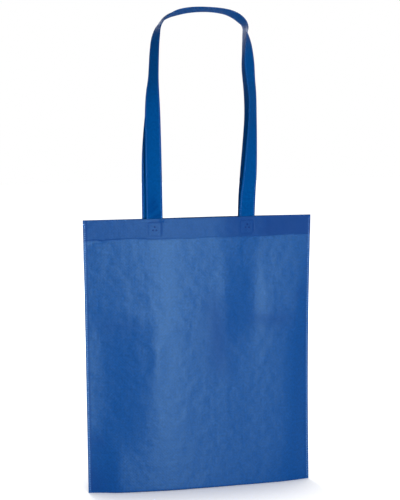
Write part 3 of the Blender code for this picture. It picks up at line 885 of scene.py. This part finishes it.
def make_strap(name, side, route):
    """A strap, its middle line with the ways across and through it, and its length."""
    line, walked = curve_through(strap_stations(side, route), STRAP_STEP)
    a, b, pressed = strap_section()
    rows, frames = [], []
    for n, point in enumerate(line):
        along = line[min(n + 1, len(line) - 1), :3] - line[max(n - 1, 0), :3]
        along = along / np.linalg.norm(along)
        in_plane = np.cross(along, (0, 1, 0))
        in_plane /= np.linalg.norm(in_plane)
        through = np.cross(in_plane, along)
        width = math.cos(point[3]) * in_plane - side * math.sin(point[3]) * through
        face = np.cross(along, width)
        crumple = (crease(walked[n], a, STRAP_CREASES[side, 0])
                   + crease(walked[-1] - walked[n], a, STRAP_CREASES[side, 1]))
        ring = point[:3] + a[:, None] * width + (b + crumple)[:, None] * face
        # Painted shade: the cloth darkens along the crumples, on top of the real weld lines.
        pressed_and_painted_shade = np.clip(pressed + STRAP_CREASE_SHADE * np.abs(crumple), 0.0, 1.0)
        rows.append((*ring.T, pressed_and_painted_shade))
        frames.append((point[:3], width, face))
    places = np.concatenate([a[:len(a) // 2], 2 * a[len(a) // 2 - 1] - a[len(a) // 2:]])
    strap, _ = grid_object(name, rows, places, strap_fabric, closed=True)
    bm = bmesh.new()
    bm.from_mesh(strap.data)
    bmesh.ops.holes_fill(bm, edges=[e for e in bm.edges if e.is_boundary], sides=0)
    bm.to_mesh(strap.data)
    bm.free()
    print(f"{name}: {walked[-1]:.3f} m long, {bake(strap)} triangles")
    return strap, frames, walked[-1]


straps = {}
for name, side, route, solid in (("front_strap", FRONT, FRONT_ROUTE, "front_handle"),
                                 ("back_strap", BACK, BACK_ROUTE, "back_handle")):
    strap, frames, strap_length = make_strap(name, side, route)
    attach(strap, "root")
    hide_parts(solid)
    straps[name] = (strap, frames, strap_length)

# %% [markdown]
# The weld wheel leaves a point every few millimetres along each seam.  Geometry Nodes set
# them out: the seam is a curve, Curve to Points spaces them by the pitch, and the nearest
# place on the cloth gives each its seat and its normal.  Realize Instances makes them
# real mesh, because the export drops instances.

# %% Node tree that sets weld points along a seam
def weld_point_tree():
    """Geometry Nodes that space a point along a seam and seat each on the cloth."""
    tree = bpy.data.node_groups.new("weld points along a seam", "GeometryNodeTree")
    for socket, kind in (("Seam", "Geometry"), ("Cloth", "Object"), ("Point", "Object"),
                         ("Pitch", "Float"), ("Material", "Material")):
        tree.interface.new_socket(socket, in_out="INPUT", socket_type="NodeSocket" + kind)
    tree.interface.new_socket("Points", in_out="OUTPUT", socket_type="NodeSocketGeometry")
    given = node(tree, "NodeGroupInput").outputs
    spaced = node(tree, "GeometryNodeCurveToPoints", {"Curve": given["Seam"], "Length": given["Pitch"]},
                  mode="LENGTH").outputs
    cloth = node(tree, "GeometryNodeObjectInfo", {"Object": given["Cloth"]}).outputs["Geometry"]
    point = node(tree, "GeometryNodeObjectInfo", {"Object": given["Point"]}).outputs["Geometry"]
    seat = node(tree, "GeometryNodeProximity", {0: cloth}, target_element="FACES").outputs["Position"]
    seated = node(tree, "GeometryNodeSetPosition",
                  {"Geometry": spaced["Points"], "Position": seat}).outputs[0]
    normal = node(tree, "GeometryNodeInputNormal").outputs[0]
    upright = node(tree, "GeometryNodeSampleNearestSurface", {"Mesh": cloth, "Value": normal},
                   data_type="FLOAT_VECTOR").outputs["Value"]
    turned = node(tree, "FunctionNodeAxesToRotation",
                  {"Primary Axis": upright, "Secondary Axis": spaced["Tangent"]},
                  primary_axis="Z", secondary_axis="X").outputs[0]
    placed = node(tree, "GeometryNodeInstanceOnPoints",
                  {"Points": seated, "Instance": point, "Rotation": turned}).outputs[0]
    real = node(tree, "GeometryNodeRealizeInstances", {"Geometry": placed}).outputs[0]
    painted = node(tree, "GeometryNodeSetMaterial",
                   {"Geometry": real, "Material": given["Material"]}).outputs[0]
    node(tree, "NodeGroupOutput", {"Points": painted})
    return tree


weld_points = weld_point_tree()
print("tree inputs:", [item.name for item in weld_points.interface.items_tree if item.in_out == "INPUT"])

# %% [markdown]
# One point is a shallow oval dish: a rim that stands a tenth of a millimetre proud, where
# the melted plastic was pushed out, round a sunk middle.  Eight sides are enough, because
# there are more than two thousand.

# %% One weld point
RIM_RISE = 0.00010
DISH_SIDES = 8
DISH_RINGS = ((1.0, -RIM_RISE), (0.82, RIM_RISE), (0.45, 0.0))
SEAM_POINT = (0.0017, 0.0013)
PATCH_POINT = (0.0029, 0.0029)


def dish(name, length, width):
    """One weld point, as an object that the Geometry Nodes copy."""
    bm = bmesh.new()
    turns = [2 * math.pi * n / DISH_SIDES for n in range(DISH_SIDES)]
    made = []
    for share, rise in DISH_RINGS:
        along, aside = share * length / 2, share * width / 2
        made.append([bm.verts.new((along * math.cos(t), aside * math.sin(t), rise)) for t in turns])
    for low, high in zip(made, made[1:]):
        for n in range(DISH_SIDES):
            m = (n + 1) % DISH_SIDES
            bm.faces.new((low[n], low[m], high[m], high[n]))
    bm.faces.new(made[-1])
    bm.faces.new(made[0][::-1])
    mesh = bpy.data.meshes.new(name)
    bm.to_mesh(mesh)
    bm.free()
    mesh.shade_smooth()
    return new_object(name, mesh)


seam_point = dish("seam_point", *SEAM_POINT)
patch_point = dish("patch_point", *PATCH_POINT)
print("one weld point has", len(seam_point.data.polygons), "faces")

# %% [markdown]
# One function draws the seams as curves, runs the tree on them and keeps what comes out as
# a piece of its own.  The side seams of both panels are the first to use it.

# %% Weld points of the side seams
SEAM_INSET = 0.0024
SEAM_PITCH = 0.0028
SEAM_START = 0.006
SEAM_STOP = 0.002
SEAM_STEP = 0.004


def set_weld_points(name, lines, cloth, point, pitch, material):
    """Weld points along several seams, as one plain mesh."""
    seam = bpy.data.curves.new(name, "CURVE")
    seam.dimensions = "3D"
    for line in lines:
        spline = seam.splines.new("POLY")
        spline.points.add(len(line) - 1)
        spline.points.foreach_set("co", [v for p in line for v in (*p, 1.0)])
    guide = new_object(name + "_seam", seam)
    setter = guide.modifiers.new("weld points", "NODES")
    setter.node_group = weld_points
    given = {"Cloth": cloth, "Point": point, "Pitch": pitch, "Material": material}
    for item in weld_points.interface.items_tree:
        if item.name in given:
            setter[item.identifier] = given[item.name]
    graph = bpy.context.evaluated_depsgraph_get()
    mesh = bpy.data.meshes.new_from_object(guide.evaluated_get(graph))
    bpy.data.objects.remove(guide)
    mesh.name = name
    piece = new_object(name, mesh)
    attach(piece, "root")
    print(f"{name}: {len(mesh.polygons) // (2 * DISH_SIDES + 2)} points")
    return piece


side_lines = []
for side in (FRONT, BACK):
    for edge, inwards in ((0, 1), (1, -1)):
        line = []
        for z in np.arange(SEAM_START, BAG_HEIGHT - SEAM_STOP, SEAM_STEP):
            x = float(side_edges(z)[edge]) + inwards * SEAM_INSET
            line.append((x, float(surface(side, x, z)) + side * 2 * SHEET, float(z)))
        side_lines.append(line)
side_welds = set_weld_points("side_weld_points", side_lines, bag_sheet, seam_point,
                             SEAM_PITCH, pale_points)

# %% [markdown]
# The square that holds each strap end is pressed through hem and strap at once.  Its
# rounded line is in the sheet's own mesh.  Inside it are three round points in a triangle.
# Their pitch is a hair less than the side, so that rounding can't lose the last point.

# %% Weld points of the strap squares
TRIANGLE_SIDE = 0.0054
TRIANGLE_RISE = TRIANGLE_SIDE * math.sqrt(3) / 2
PITCH_SHARE = 0.999

patch_lines = []
for side in (FRONT, BACK):
    for middle in strap_ends(side):
        low = BAG_HEIGHT - PATCH_DROP - TRIANGLE_RISE / 3
        corners = ((-TRIANGLE_SIDE / 2, low), (0.0, low + TRIANGLE_RISE), (TRIANGLE_SIDE / 2, low))
        patch_lines.append([(middle + dx, float(surface(side, middle + dx, z)) + side * 2 * SHEET, z)
                            for dx, z in corners])
patch_welds = set_weld_points("patch_weld_points", patch_lines, bag_sheet, patch_point,
                              PITCH_SHARE * TRIANGLE_SIDE, dark_points)

# %% [markdown]
# A strap has a line of points along each edge, on both of its faces.  The seams are worked
# out from its middle line and the way across it, so the points follow every turn.

# %% Weld points of the straps
STRAP_PITCH = 0.0030
for name, (strap, frames, strap_length) in straps.items():
    reach = STRAP_WIDTH / 2 - STRAP_LIP
    lines = [[tuple(middle + edge * reach * width + face_side * STRAP_THICKNESS * face)
              for middle, width, face in frames]
             for edge in (-1, 1) for face_side in (-1, 1)]
    welds = set_weld_points(name + "_weld_points", lines, strap, seam_point,
                            STRAP_PITCH, strap_points)

for shape in (seam_point, patch_point):
    bpy.data.objects.remove(shape)

# %% [markdown]
# The sheet of the bag was cut as one rectangle, and so was each strap, which is then
# folded in two along its length.

print(f"flat sizes: bag {BAG_WIDTH:.3f} by {sheet_length:.3f} m, straps {STRAP_WIDTH:.3f} m wide")

# %% [markdown]
# The bag stands on white paper, on which only a soft contact shadow is left.  The paper is
# white where no shadow falls because part of its light is its own glow, which only
# camera, glossy and transmission rays see.  Ambient Occlusion over 15 cm dims that glow
# close to the bag; farther away, where the lamps fall off, it grows to full white.

# %% Floor
SHADOW_REACH = 0.15
SHADOW_FULL = 0.46
PAPER_GLOW = 0.70
GLOW_FROM = 0.4
GLOW_TO = 1.2
FLOOR_HALF = 6

corners = [(-FLOOR_HALF, -FLOOR_HALF, 0), (FLOOR_HALF, -FLOOR_HALF, 0),
           (FLOOR_HALF, FLOOR_HALF, 0), (-FLOOR_HALF, FLOOR_HALF, 0)]
floor_mesh = bpy.data.meshes.new("floor")
floor_mesh.from_pydata(corners, [], [(0, 1, 2, 3)])
floor = new_object("floor", floor_mesh)
paper, tree, shader = new_material("white paper floor")
shader.inputs["Base Color"].default_value = linear("#FFFFFF")
shader.inputs["Roughness"].default_value = 0.9
shader.inputs["Specular IOR Level"].default_value = 0.0
shader.inputs["Emission Color"].default_value = (1, 1, 1, 1)
open_sky = node(tree, "ShaderNodeAmbientOcclusion", {"Distance": SHADOW_REACH}, samples=16)
lit = node(tree, "ShaderNodeMapRange", {"Value": open_sky.outputs["AO"], "From Min": SHADOW_FULL})
place = node(tree, "ShaderNodeTexCoord").outputs["Object"]
from_bag = node(tree, "ShaderNodeVectorMath", {0: place}, operation="LENGTH")
strength = node(tree, "ShaderNodeMapRange", {"Value": from_bag.outputs["Value"], "From Min": GLOW_FROM,
                                             "From Max": GLOW_TO, "To Min": PAPER_GLOW, "To Max": 1.0})
glow = shown_rays(tree)
for share in (lit, strength):
    glow = node(tree, "ShaderNodeMath", {0: glow, 1: share.outputs["Result"]},
                operation="MULTIPLY").outputs[0]
tree.links.new(glow, shader.inputs["Emission Strength"])
floor_mesh.materials.append(paper)
print("floor:", 2 * FLOOR_HALF, "m wide, its contact shadow reaches", SHADOW_REACH, "m")

# %% [markdown]
# The room is white to the camera and to reflections, and dim as a source of light, so the
# panels keep their shading.  A low softbox stands in front, near the mirror direction of
# the camera: its reflection is the pale satin band down the front.  A wide one above it
# lights the whole front, and weaker ones at the left and above and a strong one behind
# fill the rest.

# %% World and lamps
FILL = 0.22

world = bpy.data.worlds.new("studio")
scene.world = world
world.use_nodes = True
tree = world.node_tree
fill = tree.nodes["Background"]
fill.inputs["Color"].default_value = (1, 1, 1, 1)
fill.inputs["Strength"].default_value = FILL
white = node(tree, "ShaderNodeBackground", {"Color": (1, 1, 1, 1), "Strength": 1.0})
sky = node(tree, "ShaderNodeMixShader", {0: shown_rays(tree), 1: fill.outputs[0], 2: white.outputs[0]})
tree.links.new(sky.outputs[0], tree.nodes["World Output"].inputs["Surface"])


def softbox(name, place, target, size, power):
    """A rectangular lamp that looks at a target."""
    data = bpy.data.lights.new(name, "AREA")
    data.shape = "RECTANGLE"
    data.size, data.size_y = size
    data.energy = power
    lamp = new_object(name, data)
    lamp.location = place
    lamp.rotation_euler = (Vector(target) - Vector(place)).to_track_quat("-Z", "Y").to_euler()
    print(f"{name}: {power} W")


softbox("front softbox", (0.22, -2.2, 0.16), (0, 0, 0.3), (0.60, 0.31), 43)
softbox("wide softbox", (0.2, -2.6, 1.1), (0, 0, 0.45), (2.4, 1.4), 11)
softbox("left softbox", (-1.9, -1.3, 0.9), (0, 0, 0.5), (0.8, 0.8), 7)
softbox("top softbox", (0.4, -0.9, 2.2), (0, 0, 0.2), (1.4, 1.4), 8)
softbox("back softbox", (-0.5, 2.2, 0.8), (0, 0, 0.3), (0.8, 0.8), 36)
scene.view_settings.view_transform = "Standard"
